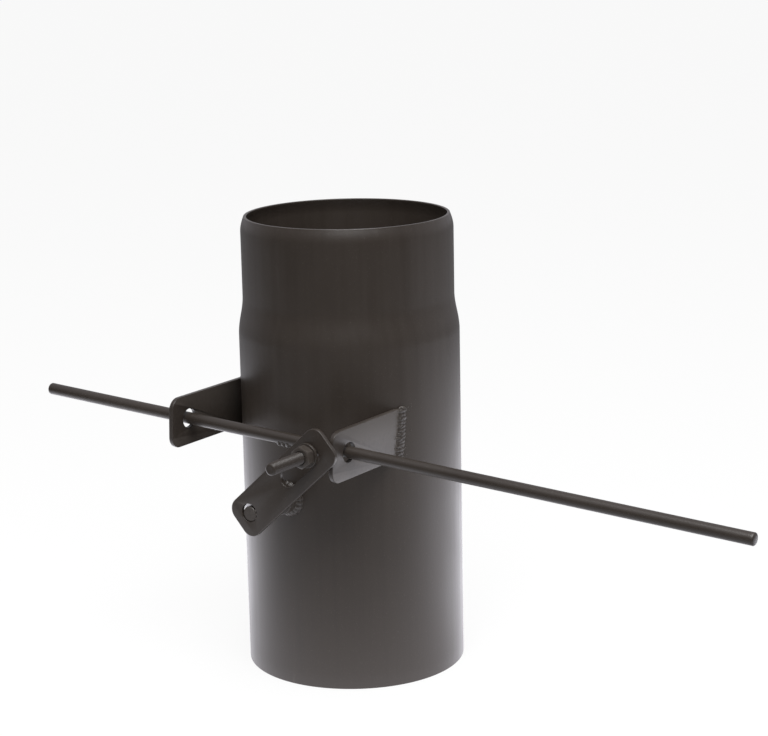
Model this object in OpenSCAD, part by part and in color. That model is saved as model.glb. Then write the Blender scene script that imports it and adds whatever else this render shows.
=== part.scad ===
// Stove pipe section with a rod-worked damper.
// Millimetres. +Z is up, the pipe's axis is Z and its lower end is at Z = 0.
// -Y is the front, where the linkage is. +X is the long end of the control rod.
// The damper is drawn open, with the rod pushed fully to the right.

/* [Pipe] */

// outside diameter of the pipe
pipe_od = 150; // [130:1:180]
// wall thickness of the pipe
pipe_wall = 2; // [1:0.1:3]
// overall height of the pipe
pipe_h = 310; // [280:1:500]
// length of the narrowed upper end, from the top down to the full diameter
spigot_len = 80; // [60:1:100]
// height over which the pipe narrows to the spigot
swage_len = 26; // [12:1:36]
// how much smaller the spigot's outside radius is than the pipe's
spigot_step = 3.3; // [2.4:0.1:5]
// height of the inward curl at the upper edge
rim_len = 10; // [6:0.5:14]
// how far the upper edge curls inwards
rim_curl = 2.4; // [0.5:0.1:3]

/* [Damper] */

// height of the damper spindle above the pipe's lower end
spindle_z = 130; // [110:1:200]
// diameter of the spindle
spindle_d = 10; // [8:0.5:14]
// radial gap between the spindle and the bosses it turns in
spindle_gap = 0.3; // [0.25:0.05:0.6]
// gap between the damper disc's edge and the pipe's inside wall
disc_gap = 2.5; // [2:0.1:6]
// thickness of the damper disc
disc_t = 2; // [1.5:0.1:3]
// distance between the two faces of the spindle's flattened middle
flat_t = 7; // [5:0.5:8]
// distance between the two disc bolts
bolt_pitch = 76; // [50:1:90]
// outside diameter of the bosses welded to the pipe
boss_d = 18; // [16:0.5:22]
// how far the bosses stand out from the pipe's widest line
boss_out = 9; // [6:0.5:12]

/* [Control rod] */

// lean of the whole linkage about the spindle, in degrees, right end down
lean = 2.6; // [-4:0.1:4]
// diameter of the control rod
rod_d = 8; // [6:0.5:9]
// height of the rod's axis above the spindle's, square to the rod
rod_rise = 48; // [46:0.5:56]
// distance of the rod's axis in front of the pipe's wall
rod_out = 19.6; // [16:0.2:22]
// length of the rod to the left of the stud
rod_left = 237; // [180:1:300]
// length of the rod to the right of the stud
rod_right = 295; // [200:1:400]
// angle of the crank plate from the line square to the rod, as drawn
rest_angle = 45.5; // [43:0.5:46]
// rod travel per radian of damper, as a share of the rise
travel_share = 1.2; // [1.18:0.01:1.2]

/* [Stud and nut] */

// outside diameter of the threaded stud
stud_d = 8; // [8:0.5:10]
// diameter of the stud's neck, where it runs in the slot
neck_d = 5.8; // [5:0.1:6]
// length of stud showing in front of the crank plate
stud_show = 39; // [30:1:60]
// thickness of the washer
washer_t = 1.6; // [1:0.1:2]
// outside diameter of the washer
washer_d = 16; // [15.6:0.1:20]
// width of the nut across its flats
nut_af = 13; // [13:0.5:17]
// height of the nut
nut_h = 6.5; // [5:0.1:8]

/* [Brackets] */

// thickness of the bracket plates
bracket_t = 3; // [2:0.1:4]
// height of the bracket plates
bracket_h = 34; // [28:1:40]
// corner radius of the bracket plates
bracket_r = 8; // [3:0.5:10]
// how far the brackets' front edges stand out from the pipe's wall
bracket_out = 37.5; // [34:0.5:45]
// how far the right bracket's middle is in from the pipe's side, along the rod
bracket_right_in = 13.8; // [9:0.1:17]
// how far the left bracket's middle is in from the pipe's side, along the rod
bracket_left_in = 6.4; // [5:0.1:17]
// diameter of the rod holes in the brackets
rod_hole_d = 13; // [10:0.5:14]
// how much higher the rod holes are than the middle of the brackets
hole_up = 1; // [0:0.5:3]

/* [Crank plate] */

// thickness of the crank plate
crank_t = 3; // [2:0.1:4]
// width of the crank plate
crank_w = 27.5; // [26:0.5:32]
// length of the crank plate beyond the spindle's axis, at the slotted end
crank_long = 84.6; // [82:0.1:90]
// length of the crank plate beyond the spindle's axis, at the other end
crank_short = 12; // [11:0.5:18]
// corner radius of the crank plate
crank_r = 8; // [4:0.5:11]
// diameter of the spindle hole in the crank plate
crank_hole_d = 12; // [11:0.5:14]
// how far the spindle hole is off the spindle's axis
hole_off = 0.8; // [0:0.1:0.9]
// gap between the brackets' front edges and the crank plate
crank_gap = 0.5; // [0.4:0.1:3]
// side gap between the stud's neck and the slot
slot_gap = 2.9; // [2.9:0.05:3.2]
// distance of the slot's lower end from the spindle's axis
slot_start = 36.6; // [34:0.1:37]
// distance of the slot's upper end from the spindle's axis
slot_end = 74; // [73:0.1:78]

/* [Welds] */

// radius of the ripples in the weld beads
bead_r = 3; // [2:0.1:3.4]

/* [Hidden] */

$fn = 96;
pipe_r = pipe_od / 2;
bore_r = pipe_r - pipe_wall;
spigot_r = pipe_r - spigot_step;
rim_r = spigot_r - rim_curl;
swage_z = pipe_h - spigot_len;
straight_z = swage_z + swage_len;
rim_z = pipe_h - rim_len;
curve_steps = 12;
fine_fn = 360;
hole_r = spindle_d / 2 + spindle_gap;
boss_y = pipe_r + boss_out;
rod_y = pipe_r + rod_out;
bracket_y = pipe_r + bracket_out;
bracket_right = pipe_r - bracket_right_in;
bracket_left = pipe_r - bracket_left_in;
crank_back = bracket_y + crank_gap;
crank_front = crank_back + crank_t;
washer_back = crank_front + 0.2;
nut_back = washer_back + washer_t;
stud_end = crank_front + stud_show;
slot_w = neck_d + 2 * slot_gap;
stud_u = travel_share * rod_rise * rest_angle * PI / 180;
disc_r = bore_r - disc_gap;
flat_len = 2 * disc_r + 1;
disc_bolt_d = 5;
bolt_af = 8;
bolt_head_h = 3.5;
disc_nut_h = 4;
bolt_tail = 2;
bolt_play = 0.4;
bead_left = 36.5;
chamfer = 0.8;
leg = 3.5;
lug_z = rod_rise - hole_up;

paint = [0.16, 0.14, 0.13];
steel = [0.35, 0.34, 0.33];

// Turns a shape built along +Z so that it points to the front, from the spindle's axis.
module forward() {
    translate([0, 0, spindle_z])
        rotate([90, 0, 0])
            children();
}

// Leans a shape about the spindle's axis. X runs along the rod, Z is square to it.
module leaned() {
    translate([0, 0, spindle_z])
        rotate([0, lean, 0])
            children();
}

// Half-way smooth step from 0 to 1, used for the swage.
function ease(t) = (1 - cos(180 * t)) / 2;

// Outside line of the pipe from the bottom up, moved in by the given distance.
function outline(inset) = concat(
    [[pipe_r - inset, 0]],
    [for (i = [0:curve_steps])
        [pipe_r - inset - spigot_step * ease(i / curve_steps),
         swage_z + swage_len * i / curve_steps]],
    [for (i = [0:curve_steps])
        [spigot_r - inset - rim_curl * (1 - cos(90 * i / curve_steps)),
         rim_z + rim_len * i / curve_steps]]
);

// The outline read from its last point to its first.
function reversed(line) = [for (i = [len(line) - 1:-1:0]) line[i]];

// Pipe: one tube, narrowed at the top, with a hole at each side for the spindle.
module pipe() {
    color(paint)
    difference() {
        rotate_extrude($fn = fine_fn)
            polygon(concat(outline(0), reversed(outline(pipe_wall))));
        forward()
            cylinder(h = 3 * pipe_r, r = hole_r + 0.4, center = true);
    }
}

// A solid bar the size of the pipe, used to shape what sits on its outside.
module pipe_space() {
    cylinder(h = pipe_h, r = pipe_r, $fn = fine_fn);
}

// A boss: a short thick tube whose inner end fits the round of the pipe.
module boss() {
    difference() {
        forward()
            difference() {
                cylinder(h = boss_y, d = boss_d);
                translate([0, 0, -1])
                    cylinder(h = boss_y + 2, r = hole_r);
            }
        pipe_space();
    }
}

// The sloping bead of weld round the foot of a boss.
module boss_weld() {
    difference() {
        forward()
            rotate_extrude()
                polygon([
                    [boss_d / 2, pipe_r - leg],
                    [boss_d / 2 + 2 * leg, pipe_r - leg],
                    [boss_d / 2 + 0.4, pipe_r + leg - 0.4],
                    [boss_d / 2, pipe_r + leg - 0.4]
                ]);
        pipe_space();
    }
}

// Front boss, on the linkage's side.
module front_boss() {
    color(paint)
        boss();
}

// Rear boss, straight behind the front one.
module rear_boss() {
    color(paint)
        mirror([0, 1, 0])
            boss();
}

// Weld round the front boss.
module front_boss_weld() {
    color(paint)
        boss_weld();
}

// Weld round the rear boss.
module rear_boss_weld() {
    color(paint)
        mirror([0, 1, 0])
            boss_weld();
}

// Side view of a bracket, with its two front corners rounded and the rod hole.
module bracket_side() {
    difference() {
        union() {
            translate([0, -bracket_h / 2])
                square([bracket_y - bracket_r, bracket_h]);
            translate([0, bracket_r - bracket_h / 2])
                square([bracket_y, bracket_h - 2 * bracket_r]);
            for (s = [-1, 1])
                translate([bracket_y - bracket_r, s * (bracket_h / 2 - bracket_r)])
                    circle(r = bracket_r);
        }
        translate([rod_y, hole_up])
            circle(d = rod_hole_d);
    }
}

// A bracket: a flat plate on edge, its rear edge cut to fit the round of the pipe.
module bracket(u) {
    difference() {
        leaned()
            translate([u + bracket_t / 2, 0, lug_z])
                rotate([0, 0, -90])
                    rotate([90, 0, 0])
                        linear_extrude(height = bracket_t)
                            bracket_side();
        pipe_space();
    }
}

// Left bracket.
module left_bracket() {
    color(paint)
        bracket(-bracket_left);
}

// Right bracket.
module right_bracket() {
    color(paint)
        bracket(bracket_right);
}

// A rippled bead of weld up the outer side of a bracket, where it meets the pipe.
module bracket_weld(u, side) {
    face = u + side * bracket_t / 2;
    foot = face * cos(lean) + lug_z * sin(lean);
    y = sqrt(pow(pipe_r, 2) - pow(foot, 2)) + 0.4;
    x = face + side * 1.2;
    count = 11;
    difference() {
        leaned()
            for (i = [0:count - 1])
                translate([x, -y - 0.5 * sin(110 * i),
                           lug_z + (bracket_h - 1) * (i / (count - 1) - 0.5)])
                    sphere(r = bead_r + 0.35 * sin(70 + 130 * i));
        leaned()
            translate([side > 0 ? face - bracket_t - 20 : face, -bracket_y, 0])
                cube([bracket_t + 20, bracket_y, 2 * lug_z]);
        pipe_space();
    }
}

// Weld of the left bracket.
module left_bracket_weld() {
    color(paint)
        bracket_weld(-bracket_left, -1);
}

// Weld of the right bracket.
module right_bracket_weld() {
    color(paint)
        bracket_weld(bracket_right, 1);
}

// Control rod: a plain round bar with its ends broken.
module control_rod() {
    color(paint)
    leaned()
        translate([stud_u - rod_left, -rod_y, rod_rise])
            rotate([0, 90, 0]) {
                cylinder(h = chamfer, r1 = rod_d / 2 - chamfer, r2 = rod_d / 2);
                translate([0, 0, chamfer])
                    cylinder(h = rod_left + rod_right - 2 * chamfer, d = rod_d);
                translate([0, 0, rod_left + rod_right - chamfer])
                    cylinder(h = chamfer, r1 = rod_d / 2, r2 = rod_d / 2 - chamfer);
            }
}

// Puts a shape built along +Z on the stud's axis, pointing to the front.
module on_stud() {
    leaned()
        translate([stud_u, 0, rod_rise])
            rotate([90, 0, 0])
                children();
}

// A solid bar the size of the rod, used to shape what is welded to it.
module rod_space() {
    leaned()
        translate([0, -rod_y, rod_rise])
            rotate([0, 90, 0])
                cylinder(h = 4 * (rod_left + rod_right), d = rod_d, center = true);
}

// Stud: threaded in front of the crank plate, necked down where it runs in the slot.
module stud() {
    color(steel)
    difference() {
        on_stud()
            union() {
                translate([0, 0, rod_y])
                    cylinder(h = washer_back - rod_y + 0.1, d = neck_d);
                translate([0, 0, washer_back])
                    cylinder(h = stud_end - chamfer - washer_back, d = stud_d);
                translate([0, 0, stud_end - chamfer])
                    cylinder(h = chamfer, r1 = stud_d / 2, r2 = stud_d / 2 - chamfer);
            }
        rod_space();
    }
}

// Bead of weld round the stud's foot, on the front of the rod.
module stud_weld() {
    color(paint)
    difference() {
        on_stud()
            difference() {
                union() {
                    translate([0, 0, rod_y])
                        cylinder(h = rod_d / 2, r = neck_d / 2 + 2.4);
                    translate([0, 0, rod_y + rod_d / 2])
                        cylinder(h = 3, r1 = neck_d / 2 + 2.4, r2 = neck_d / 2 + 0.3);
                }
                cylinder(h = 2 * rod_y, d = neck_d);
            }
        rod_space();
        leaned()
            translate([stud_u - rod_d, -rod_y, rod_rise - rod_d])
                cube([2 * rod_d, rod_y, 2 * rod_d]);
    }
}

// A lump of weld left on the underside of the rod, to the left of the stud.
module rod_bead() {
    color(paint)
    difference() {
        leaned()
            for (i = [0:3])
                translate([stud_u - bead_left + 2.4 * i, -rod_y - 1, rod_rise - rod_d / 2 + 0.8])
                    sphere(r = 2.2 + 0.2 * sin(140 * i));
        rod_space();
    }
}

// Washer between the crank plate and the nut.
module stud_washer() {
    color(steel)
    on_stud()
        translate([0, 0, washer_back])
            difference() {
                cylinder(h = washer_t, d = washer_d);
                translate([0, 0, -1])
                    cylinder(h = washer_t + 2, d = stud_d + 0.4);
            }
}

// A hexagon along +Z, its corners turned off at both ends.
module hexagon(af, h) {
    corner = af / sqrt(3);
    edge = (corner - af / 2) * 0.58;
    intersection() {
        rotate([0, 0, 30])
            cylinder(h = h, r = corner, $fn = 6);
        union() {
            cylinder(h = edge, r1 = af / 2 - 0.1, r2 = corner);
            translate([0, 0, edge])
                cylinder(h = h - 2 * edge, r = corner);
            translate([0, 0, h - edge])
                cylinder(h = edge, r1 = corner, r2 = af / 2 - 0.1);
        }
    }
}

// A hexagon nut along +Z.
module hex_nut(af, h, bore) {
    difference() {
        hexagon(af, h);
        translate([0, 0, -1])
            cylinder(h = h + 2, d = bore);
    }
}

// Nut on the stud.
module stud_nut() {
    color(steel)
    on_stud()
        translate([0, 0, nut_back])
            rotate([0, 0, 8])
                hex_nut(nut_af, nut_h, stud_d);
}

// Puts a shape built along +Z on the damper's own turned frame: Z forward, Y up the plate.
module on_crank() {
    leaned()
        rotate([0, rest_angle, 0])
            rotate([90, 0, 0])
                children();
}

// Front view of the crank plate.
module crank_front_view() {
    difference() {
        union() {
            translate([-crank_w / 2, crank_r - crank_short])
                square([crank_w, crank_long + crank_short - 2 * crank_r]);
            translate([crank_r - crank_w / 2, -crank_short])
                square([crank_w - 2 * crank_r, crank_long + crank_short]);
            for (x = [-1, 1])
                for (y = [crank_r - crank_short, crank_long - crank_r])
                    translate([x * (crank_w / 2 - crank_r), y])
                        circle(r = crank_r);
        }
        translate([-hole_off, 0.2])
            circle(d = crank_hole_d);
        translate([-slot_w / 2, slot_start + slot_w / 2])
            square([slot_w, slot_end - slot_start - slot_w]);
        for (y = [slot_start + slot_w / 2, slot_end - slot_w / 2])
            translate([0, y])
                circle(d = slot_w);
    }
}

// Crank plate: slotted for the stud and fixed on the spindle's front end.
module crank_plate() {
    color(paint)
    on_crank()
        translate([0, 0, crank_back])
            linear_extrude(height = crank_t)
                crank_front_view();
}

// Weld behind the crank plate, on one side only, which fixes it to the spindle.
module crank_weld() {
    color(paint)
    on_crank()
        translate([0, 0, crank_back - 4])
            difference() {
                union() {
                    cylinder(h = 2.5, r1 = spindle_d / 2 + 0.5, r2 = crank_hole_d / 2 + 2);
                    translate([0, 0, 2.5])
                        cylinder(h = 1.5, r = crank_hole_d / 2 + 2);
                }
                translate([0, 0, -1])
                    cylinder(h = 6, d = spindle_d);
                translate([-1.5 - 2 * crank_hole_d, -crank_hole_d, -1])
                    cube([2 * crank_hole_d, 2 * crank_hole_d, 6]);
            }
}

// Spindle: a round bar right through the pipe, flattened in the middle for the disc.
module spindle() {
    color(steel)
    difference() {
        on_crank()
            union() {
                translate([0, 0, -boss_y - 3])
                    cylinder(h = boss_y + 3 + crank_front - 0.5, d = spindle_d);
                translate([0, 0, crank_front - 0.5])
                    cylinder(h = 0.5, r1 = spindle_d / 2, r2 = spindle_d / 2 - 0.5);
            }
        for (s = [-1, 1])
            on_crank()
                disc_turn()
                    translate([0, 0, s * (flat_t + spindle_d) / 2])
                        cube([flat_len, 2 * spindle_d, spindle_d], center = true);
        bolt_places()
            cylinder(h = 4 * spindle_d, d = disc_bolt_d + bolt_play, center = true);
    }
}

// Turns a shape built flat so that it stands upright along the spindle.
module disc_turn() {
    rotate([0, 0, rest_angle + lean])
        rotate([0, 90, 0])
            rotate([0, 0, 180])
                children();
}

// Places a shape at both disc bolts, with +Z out of the disc's face.
module bolt_places() {
    on_crank()
        disc_turn()
            for (x = [-1, 1])
                translate([x * bolt_pitch / 2, 0, 0])
                    children();
}

// Damper disc: a flat round plate seated on the spindle's flat.
module damper_disc() {
    color(paint)
    difference() {
        on_crank()
            disc_turn()
                translate([0, 0, flat_t / 2])
                    cylinder(h = disc_t, r = disc_r);
        bolt_places()
            cylinder(h = 4 * spindle_d, d = disc_bolt_d + bolt_play, center = true);
    }
}

// Two hexagon bolts that hold the disc on the spindle.
module disc_bolts() {
    color(steel)
    bolt_places() {
        translate([0, 0, flat_t / 2 + disc_t])
            hexagon(bolt_af, bolt_head_h);
        translate([0, 0, -flat_t / 2 - disc_nut_h - bolt_tail])
            cylinder(h = flat_t + disc_t + disc_nut_h + bolt_tail + 0.5, d = disc_bolt_d);
    }
}

// Two nuts on the disc bolts, behind the spindle.
module disc_nuts() {
    color(steel)
    bolt_places()
        translate([0, 0, -flat_t / 2 - disc_nut_h])
            hex_nut(bolt_af, disc_nut_h, disc_bolt_d);
}

pipe();
front_boss();
rear_boss();
front_boss_weld();
rear_boss_weld();
left_bracket();
right_bracket();
left_bracket_weld();
right_bracket_weld();
control_rod();
stud();
stud_weld();
rod_bead();
stud_washer();
stud_nut();
spindle();
crank_plate();
crank_weld();
damper_disc();
disc_bolts();
disc_nuts();
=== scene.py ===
"""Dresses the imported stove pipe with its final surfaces, and sets up the stage around it.

Metres throughout. +Z is up, the pipe's axis is Z, and -Y is the front, where the linkage is.
"""

import random
from math import acos, asin, atan2, ceil, cos, degrees, pi, radians, sin, sqrt

import bmesh
import bpy
from bpy.props import FloatProperty, FloatVectorProperty, IntProperty, PointerProperty
from bpy.types import Operator, Panel, PropertyGroup
from mathutils import Matrix, Vector, noise


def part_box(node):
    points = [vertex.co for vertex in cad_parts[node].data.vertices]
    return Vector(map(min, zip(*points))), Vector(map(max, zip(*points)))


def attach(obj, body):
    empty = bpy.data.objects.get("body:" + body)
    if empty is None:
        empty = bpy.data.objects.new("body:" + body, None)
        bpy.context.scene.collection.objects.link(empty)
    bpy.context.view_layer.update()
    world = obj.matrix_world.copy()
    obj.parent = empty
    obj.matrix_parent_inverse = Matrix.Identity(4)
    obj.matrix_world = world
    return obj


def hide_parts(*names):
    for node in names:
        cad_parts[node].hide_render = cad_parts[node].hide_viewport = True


bl_info = {
    "name": "Stove pipe with a rod-worked damper",
    "version": (1, 0, 0),
    "blender": (4, 5, 0),
    "location": "3D View > Sidebar > Stove Pipe",
    "description": "Builds the visible surfaces of a painted stove pipe and its damper linkage",
    "category": "Object",
}

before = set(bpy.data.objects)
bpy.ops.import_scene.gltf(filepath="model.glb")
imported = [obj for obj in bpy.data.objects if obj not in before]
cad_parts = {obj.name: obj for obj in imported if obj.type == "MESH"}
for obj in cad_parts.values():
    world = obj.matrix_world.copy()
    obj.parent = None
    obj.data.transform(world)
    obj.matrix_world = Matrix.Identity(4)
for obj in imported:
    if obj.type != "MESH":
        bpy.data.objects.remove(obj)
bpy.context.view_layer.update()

PIPE_BODY = "pipe_body"
ROD_BODY = "rod_body"
DAMPER_BODY = "damper_body"

MM = 0.001
TURN = 2 * pi
FACING_FRONT = Matrix.Rotation(pi / 2, 4, "X")
SHARP_ANGLE = radians(38)


# ---- Places read from the frame ----

def middle(node):
    """Middle of a node's box."""
    low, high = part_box(node)
    return (low + high) / 2


def extent(node, axis):
    """Size of a node's box along one axis."""
    low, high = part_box(node)
    return high[axis] - low[axis]


PIPE_RADIUS = extent("pipe", 0) / 2
PIPE_HEIGHT = extent("pipe", 2)
SPINDLE_HEIGHT = middle("spindle").z
BOSS_FRONT = -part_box("front_boss")[0].y
ROD_REACH = -middle("control_rod").y
ROD_DIAMETER = extent("control_rod", 1)
BRACKET_FRONT = -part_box("right_bracket")[0].y
CRANK_FRONT = -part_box("crank_plate")[0].y
CRANK_BACK = -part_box("crank_plate")[1].y
STUD_END = -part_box("stud")[0].y
WASHER_BACK = -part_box("stud_washer")[1].y
NUT_BACK = -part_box("stud_nut")[1].y
DISC_RADIUS = extent("damper_disc", 1) / 2
DISC_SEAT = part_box("damper_disc")[0].x


# ---- Sizes and looks ----

def length(name, description, default):
    """A size in metres."""
    return FloatProperty(name=name, description=description, default=default,
                         unit="LENGTH", precision=5)


def angle(name, description, default):
    """An angle, held in radians."""
    return FloatProperty(name=name, description=description, default=default,
                         subtype="ANGLE")


def share(name, description, default, highest=1.0):
    """A plain factor."""
    return FloatProperty(name=name, description=description, default=default,
                         min=0.0, max=highest, subtype="FACTOR")


def colour(name, description, default):
    """A linear colour without alpha."""
    return FloatVectorProperty(name=name, description=description, default=default,
                               size=3, min=0.0, max=1.0, subtype="COLOR")


class PipeSizes(PropertyGroup):
    """Sizes of the pipe and its two bosses."""

    wall: length("Wall", "Thickness of the pipe's wall", 2 * MM)
    spigot: length("Spigot", "Length of the narrowed upper end", 80 * MM)
    swage: length("Swage", "Height over which the pipe narrows", 26 * MM)
    step: length("Step", "How much smaller the spigot's radius is", 3.3 * MM)
    rim: length("Rim", "Height of the inward curl at the top", 10 * MM)
    curl: length("Curl", "How far the upper edge curls inwards", 2.4 * MM)
    edge: length("Edge", "Rounding of the cut edges", 0.45 * MM)
    wander: length("Wander", "Depth of the wall's slow unevenness", 0.16 * MM)
    die_marks: IntProperty(name="Die marks", default=26,
                           description="Number of faint marks left round the spigot")
    die_depth: length("Die depth", "Depth of the marks round the spigot", 0.05 * MM)
    bore_gap: length("Bore gap", "Gap between the spindle and its holes", 0.3 * MM)
    boss_edge: length("Boss edge", "Rounding of the bosses' outer edge", 0.8 * MM)


class BracketSizes(PropertyGroup):
    """Sizes of the two brackets."""

    thickness: length("Thickness", "Thickness of the plates", 3 * MM)
    height: length("Height", "Height of the plates", 34 * MM)
    corner: length("Corner", "Radius of the front corners", 8 * MM)
    hole: length("Rod hole", "Diameter of the rod holes", 13 * MM)
    hole_up: length("Hole up", "Height of the holes above the middle", 1 * MM)
    edge: length("Edge", "Rounding of the plates' edges", 0.45 * MM)


class RodSizes(PropertyGroup):
    """Sizes of the control rod."""

    lean: angle("Lean", "Lean of the linkage, right end down", radians(2.6))
    rise: length("Rise", "Height of the rod above the spindle", 48 * MM)
    chamfer: length("Chamfer", "Chamfer of the rod's ends", 0.8 * MM)
    coat: length("Coat", "Unevenness of the paint on the rod", 0.06 * MM)


class CrankSizes(PropertyGroup):
    """Sizes of the crank plate and the spindle."""

    turn: angle("Turn", "Angle of the plate from the line square to the rod",
                radians(45.5))
    width: length("Width", "Width of the plate", 27.5 * MM)
    long_end: length("Long end", "Length beyond the spindle, slotted end", 84.6 * MM)
    short_end: length("Short end", "Length beyond the spindle, other end", 12 * MM)
    corner: length("Corner", "Radius of the plate's corners", 8 * MM)
    hole: length("Hole", "Diameter of the spindle hole", 12 * MM)
    hole_off: length("Hole off", "How far the hole is off the spindle", 0.8 * MM)
    slot: length("Slot", "Width of the slot", 11.6 * MM)
    slot_start: length("Slot start", "Distance of the slot's lower end", 36.6 * MM)
    slot_end: length("Slot end", "Distance of the slot's upper end", 74 * MM)
    edge: length("Edge", "Rounding of the plate's edges", 0.5 * MM)
    spindle: length("Spindle", "Diameter of the spindle", 10 * MM)
    flat: length("Flat", "Thickness of the spindle's flattened middle", 7 * MM)


class FixingSizes(PropertyGroup):
    """Sizes of the stud, its nut and washer, and the disc's bolts and nuts."""

    stud: length("Stud", "Outside diameter of the stud's thread", 8 * MM)
    neck: length("Neck", "Diameter of the stud's neck", 5.8 * MM)
    pitch: length("Pitch", "Pitch of the stud's thread", 1.25 * MM)
    depth: length("Thread depth", "Depth of the painted thread", 0.5 * MM)
    chamfer: length("Chamfer", "Chamfer of the stud's end", 0.9 * MM)
    nut: length("Nut", "Width of the nut across its flats", 13 * MM)
    nut_turn: angle("Nut turn", "How the nut is turned on the stud", radians(8))
    bolt: length("Bolt", "Diameter of the disc's bolts", 5 * MM)
    bolt_hex: length("Bolt hexagon", "Width of the bolt heads across flats", 8 * MM)
    bolt_pitch: length("Bolt pitch", "Pitch of the bolts' thread", 0.8 * MM)


class WeldSizes(PropertyGroup):
    """Sizes of the weld beads."""

    boss_leg: length("Boss leg", "Leg of the beads round the bosses", 3.4 * MM)
    plate_leg: length("Bracket leg", "Leg of the beads on the brackets", 3.2 * MM)
    pipe_leg: length("Pipe leg", "Leg of the bracket beads on the pipe", 4.6 * MM)
    ripple: length("Ripple", "Distance between the ripples", 2.6 * MM)
    lumps: length("Lumps", "Height of the lumps on the beads", 0.7 * MM)


class PaintLook(PropertyGroup):
    """Colour and gloss of the paint."""

    body: colour("Body", "Main colour of the paint", (0.034, 0.0265, 0.0215))
    dark: colour("Dark", "Colour where the paint lies thick", (0.026, 0.020, 0.016))
    dust: colour("Dust", "Colour of the fine specks", (0.16, 0.145, 0.13))
    worn: colour("Worn", "Colour of the rubbed edges", (0.085, 0.074, 0.066))
    roughness: share("Roughness", "Roughness of the satin paint", 0.36)
    orange_peel: share("Orange peel", "Strength of the sprayed texture", 0.22)
    wear: share("Wear", "Amount of rubbing along the edges", 0.5)


class StageLook(PropertyGroup):
    """Camera, floor and light."""

    place: FloatVectorProperty(name="Camera place", size=3, subtype="XYZ",
                               description="Where the camera stands, in metres",
                               default=(0.80138, -1.1255, 0.52004))
    heading: angle("Heading", "Turn of the camera about Z", radians(34.5))
    pitch: angle("Pitch", "How far the camera looks down", radians(12.93))
    roll: angle("Roll", "Turn of the camera about its view", radians(-1.19))
    lens: FloatProperty(name="Lens", description="Focal length in millimetres",
                        default=97.36, unit="CAMERA")
    floor: colour("Floor", "Colour of the floor and the backdrop", (1.0, 1.0, 1.0))
    tint: colour("Tint", "Colour of the room in reflections", (0.94, 0.93, 1.0))
    shadow: share("Shadow", "How much of the floor's shading is seen", 0.12)
    room: share("Room", "Strength of the light from all around", 0.55, 2.0)
    dark_front: share("Dark front", "Brightness of the room on the camera's side", 0.08)
    glare: share("Glare", "Brightness of the backdrop in reflections", 2.8, 4.0)
    glow_reach: length("Glow reach", "Distance over which the floor's glare fades", 0.27)
    pool: length("Pool", "Radius of the bright part of the floor", 1.05)
    walls: share("Walls", "Brightness of the walls in reflections", 0.6, 4.0)
    dark_turn: angle("Dark turn", "How far left of the camera the room is dimmest",
                     radians(15))
    key: FloatProperty(name="Key", description="Power of the soft light above",
                       default=26.0, unit="POWER")


class StovePipeSettings(PropertyGroup):
    """Everything that a user would change."""

    pipe: PointerProperty(type=PipeSizes)
    bracket: PointerProperty(type=BracketSizes)
    rod: PointerProperty(type=RodSizes)
    crank: PointerProperty(type=CrankSizes)
    fixing: PointerProperty(type=FixingSizes)
    weld: PointerProperty(type=WeldSizes)
    paint: PointerProperty(type=PaintLook)
    stage: PointerProperty(type=StageLook)


def settings():
    """The settings of this scene."""
    return bpy.context.scene.stove_pipe


def linkage_place():
    """From the leaned linkage's own axes, at the spindle, to the row frame."""
    return (Matrix.Translation((0, 0, SPINDLE_HEIGHT))
            @ Matrix.Rotation(settings().rod.lean, 4, "Y"))


def crank_place():
    """Along the crank plate: X across it, Y up it and Z to the front."""
    return (linkage_place()
            @ Matrix.Rotation(settings().crank.turn, 4, "Y") @ FACING_FRONT)


def stud_place():
    """Along the stud: X along the rod and Z to the front."""
    middle_of_stud = middle("stud_washer")
    return (Matrix.Translation((middle_of_stud.x, 0, middle_of_stud.z))
            @ Matrix.Rotation(settings().rod.lean, 4, "Y") @ FACING_FRONT)


def spindle_place():
    """Along the spindle, upright: X to the right and Z to the front."""
    return Matrix.Translation((0, 0, SPINDLE_HEIGHT)) @ FACING_FRONT


# ---- Meshes ----

def steps(start, end, count):
    """Evenly spaced values, both ends included."""
    return [start + (end - start) * i / (count - 1) for i in range(count)]


def ring(radius, z, count, turn=0.0):
    """A closed ring of points about Z. The radius and z may be functions of the angle."""
    points = []
    for i in range(count):
        at = turn + TURN * i / count
        r = radius(at) if callable(radius) else radius
        height = z(at) if callable(z) else z
        points.append(Vector((r * cos(at), r * sin(at), height)))
    return points


def loft(rings, place, joined=False):
    """Mesh through rings of points. It is closed by flat ends, or by joining the last ring to
    the first."""
    made = bmesh.new()
    rows = [[made.verts.new(place @ p) for p in points] for points in rings]
    count = len(rows[0])
    pairs = list(zip(rows, rows[1:]))
    if joined:
        pairs.append((rows[-1], rows[0]))
    for low, high in pairs:
        for i in range(count):
            j = (i + 1) % count
            made.faces.new((low[i], low[j], high[j], high[i]))
    if not joined:
        made.faces.new(list(reversed(rows[0])))
        made.faces.new(rows[-1])
    bmesh.ops.recalc_face_normals(made, faces=made.faces)
    return made


def ball(place, radius, seed):
    """A small uneven ball of weld."""
    made = bmesh.new()
    bmesh.ops.create_icosphere(made, subdivisions=2, radius=radius)
    for v in made.verts:
        v.co *= 1 + 0.12 * noise.noise(v.co / radius + Vector((seed, 0, 0)))
    made.transform(place)
    return made


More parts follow.
